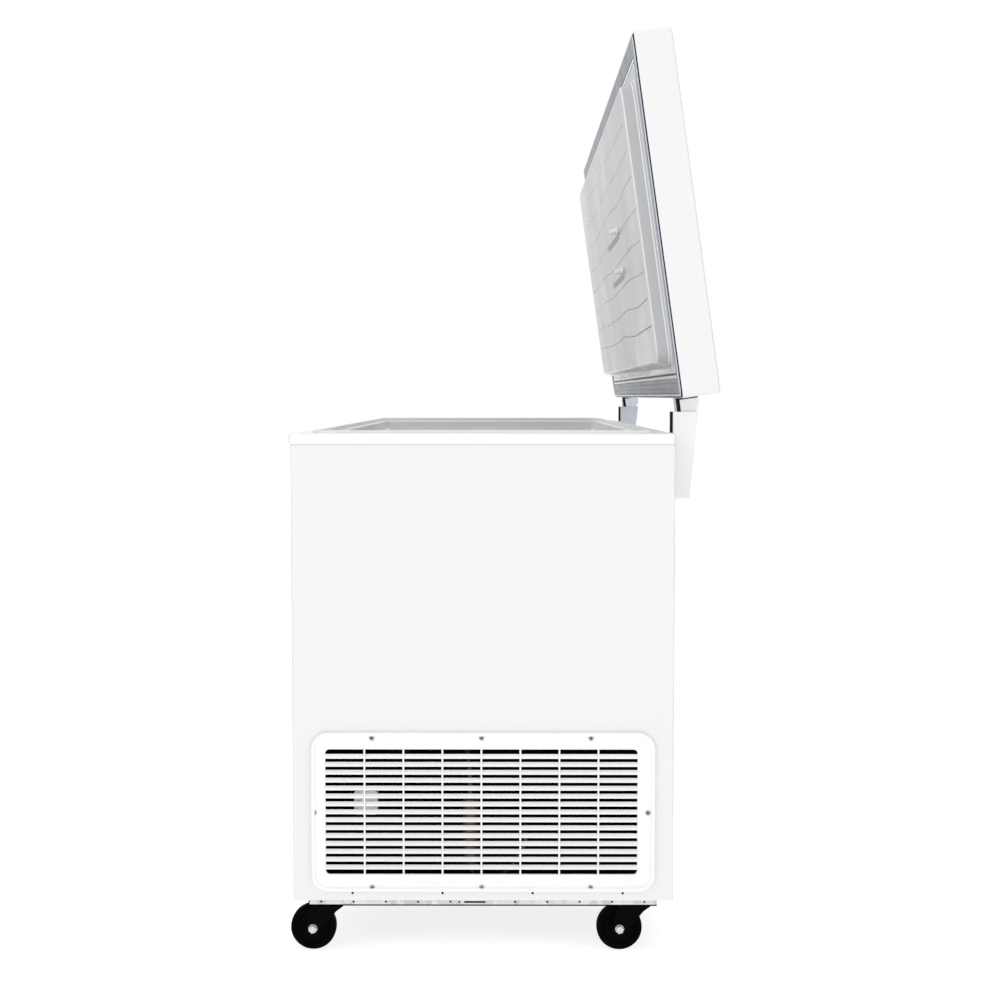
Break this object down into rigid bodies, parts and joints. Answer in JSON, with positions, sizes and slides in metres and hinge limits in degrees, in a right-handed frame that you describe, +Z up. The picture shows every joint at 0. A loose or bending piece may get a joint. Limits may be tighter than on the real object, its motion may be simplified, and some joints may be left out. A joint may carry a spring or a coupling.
{
  "type": "chest freezer",
  "caption": "Wheeled commercial chest freezer with a hinged top lid, side louvre grille, stepped storage cavity and hanging wire basket.",
  "frame": {"origin": "middle of the footprint's bounding box with the lid open, on the floor", "axes": "+Z up; +X along the length towards the machine bay end; +Y towards the hinges at the back"},
  "size_m": [1.5384, 0.6502, 1.3938],
  "materials": {
    "body_white": "satin",
    "trim_white": "satin",
    "liner_grey": "satin",
    "gasket_grey": "matte",
    "foam": "matte",
    "galvanised_steel": "satin",
    "zinc_steel": "satin",
    "spring_steel": "satin",
    "black_plastic": "matte",
    "tread_black": "matte",
    "black_steel": "satin",
    "copper": "satin",
    "coated_wire": "satin"
  },
  "bodies": {
    "cabinet": {"side_panel_right": "body_white", "side_panel_left": "body_white", "front_panel": "body_white", "back_panel": "body_white", "bottom_panel": "galvanised_steel", "machine_bay_tray": "galvanised_steel", "machine_bay_divider": "galvanised_steel", "insulation": "foam", "cavity_liner": "liner_grey", "top_frame": "trim_white", "breaker_collar": "liner_grey", "base_rail_right": "galvanised_steel", "base_rail_left": "galvanised_steel", "louvre_grille": "trim_white", "compressor": "black_steel", "condenser": "black_steel", "fan_shroud": "black_steel", "fan_motor": "black_steel", "refrigerant_line": "copper", "control_bezel": "trim_white", "cable_gland": "black_plastic", "hinge_housing_right": "body_white", "hinge_buffer_right": "black_plastic", "hinge_pin_right": "zinc_steel", "hinge_spring_right": "spring_steel", "hinge_housing_left": "body_white", "hinge_buffer_left": "black_plastic", "hinge_pin_left": "zinc_steel", "hinge_spring_left": "spring_steel", "caster_plate_front_right": "black_steel", "caster_plate_back_right": "black_steel", "caster_plate_front_left": "black_steel", "caster_plate_back_left": "black_steel"},
    "lid": {"lid_shell": "body_white", "lid_liner": "liner_grey", "lid_insulation": "foam", "lid_gasket": "gasket_grey", "lid_clip_1": "trim_white", "lid_clip_2": "trim_white", "lid_bracket_right": "zinc_steel", "bracket_shim_right": "black_plastic", "lid_bracket_left": "zinc_steel", "bracket_shim_left": "black_plastic"},
    "basket": {"wire_basket": "coated_wire"},
    "fan": {"fan_blade": "black_plastic"},
    "dial": {"thermostat_dial": "black_plastic"},
    "plunger_right": {"hinge_plunger_right": "spring_steel"},
    "plunger_left": {"hinge_plunger_left": "spring_steel"},
    "caster_front_right": {"caster_fork_front_right": "black_steel", "caster_axle_front_right": "zinc_steel"},
    "wheel_front_right": {"caster_wheel_front_right": "tread_black"},
    "caster_back_right": {"caster_fork_back_right": "black_steel", "caster_axle_back_right": "zinc_steel"},
    "wheel_back_right": {"caster_wheel_back_right": "tread_black"},
    "caster_front_left": {"caster_fork_front_left": "black_steel", "caster_axle_front_left": "zinc_steel"},
    "wheel_front_left": {"caster_wheel_front_left": "tread_black"},
    "caster_back_left": {"caster_fork_back_left": "black_steel", "caster_axle_back_left": "zinc_steel"},
    "wheel_back_left": {"caster_wheel_back_left": "tread_black"}
  },
  "joints": [
    {"name": "lid_swing", "type": "hinge", "parent": "cabinet", "child": "lid", "pos_m": [-0.00165, 0.28277, 0.8124], "axis": [1, 0, 0], "range_deg": [0, 81.9]},
    {"name": "basket_slide", "type": "slide", "parent": "cabinet", "child": "basket", "axis": [1, 0, 0], "range_m": [0, 1.1]},
    {"name": "fan_spin", "type": "hinge", "parent": "cabinet", "child": "fan", "pos_m": [0.55235, -0.16812, 0.213], "axis": [1, 0, 0], "continuous": true},
    {"name": "dial_turn", "type": "hinge", "parent": "cabinet", "child": "dial", "pos_m": [0.65435, -0.31512, 0.22], "axis": [0, -1, 0], "range_deg": [0, 300]},
    {"name": "plunger_slide_right", "type": "slide", "parent": "cabinet", "child": "plunger_right", "axis": [0, 0, 1], "range_m": [-0.009, 0], "deforming": ["hinge_spring_right"]},
    {"name": "plunger_slide_left", "type": "slide", "parent": "cabinet", "child": "plunger_left", "axis": [0, 0, 1], "range_m": [-0.009, 0], "deforming": ["hinge_spring_left"]},
    {"name": "swivel_front_right", "type": "hinge", "parent": "cabinet", "child": "caster_front_right", "pos_m": [0.70735, -0.26512, 0.076], "axis": [0, 0, 1], "continuous": true},
    {"name": "roll_front_right", "type": "hinge", "parent": "caster_front_right", "child": "wheel_front_right", "pos_m": [0.70735, -0.29013, 0.035], "axis": [1, 0, 0], "continuous": true},
    {"name": "swivel_back_right", "type": "hinge", "parent": "cabinet", "child": "caster_back_right", "pos_m": [0.70735, 0.20588, 0.076], "axis": [0, 0, 1], "continuous": true},
    {"name": "roll_back_right", "type": "hinge", "parent": "caster_back_right", "child": "wheel_back_right", "pos_m": [0.70735, 0.18088, 0.035], "axis": [1, 0, 0], "continuous": true},
    {"name": "swivel_front_left", "type": "hinge", "parent": "cabinet", "child": "caster_front_left", "pos_m": [-0.71065, -0.26512, 0.076], "axis": [0, 0, 1], "continuous": true},
    {"name": "roll_front_left", "type": "hinge", "parent": "caster_front_left", "child": "wheel_front_left", "pos_m": [-0.71065, -0.29013, 0.035], "axis": [1, 0, 0], "continuous": true},
    {"name": "swivel_back_left", "type": "hinge", "parent": "cabinet", "child": "caster_back_left", "pos_m": [-0.71065, 0.20588, 0.076], "axis": [0, 0, 1], "continuous": true},
    {"name": "roll_back_left", "type": "hinge", "parent": "caster_back_left", "child": "wheel_back_left", "pos_m": [-0.71065, 0.18088, 0.035], "axis": [1, 0, 0], "continuous": true}
  ],
  "couplings": [
    {"joint": "plunger_slide_right", "follows": "lid_swing", "m_per_rad": -0.0056},
    {"joint": "plunger_slide_left", "follows": "lid_swing", "m_per_rad": -0.0056}
  ]
}
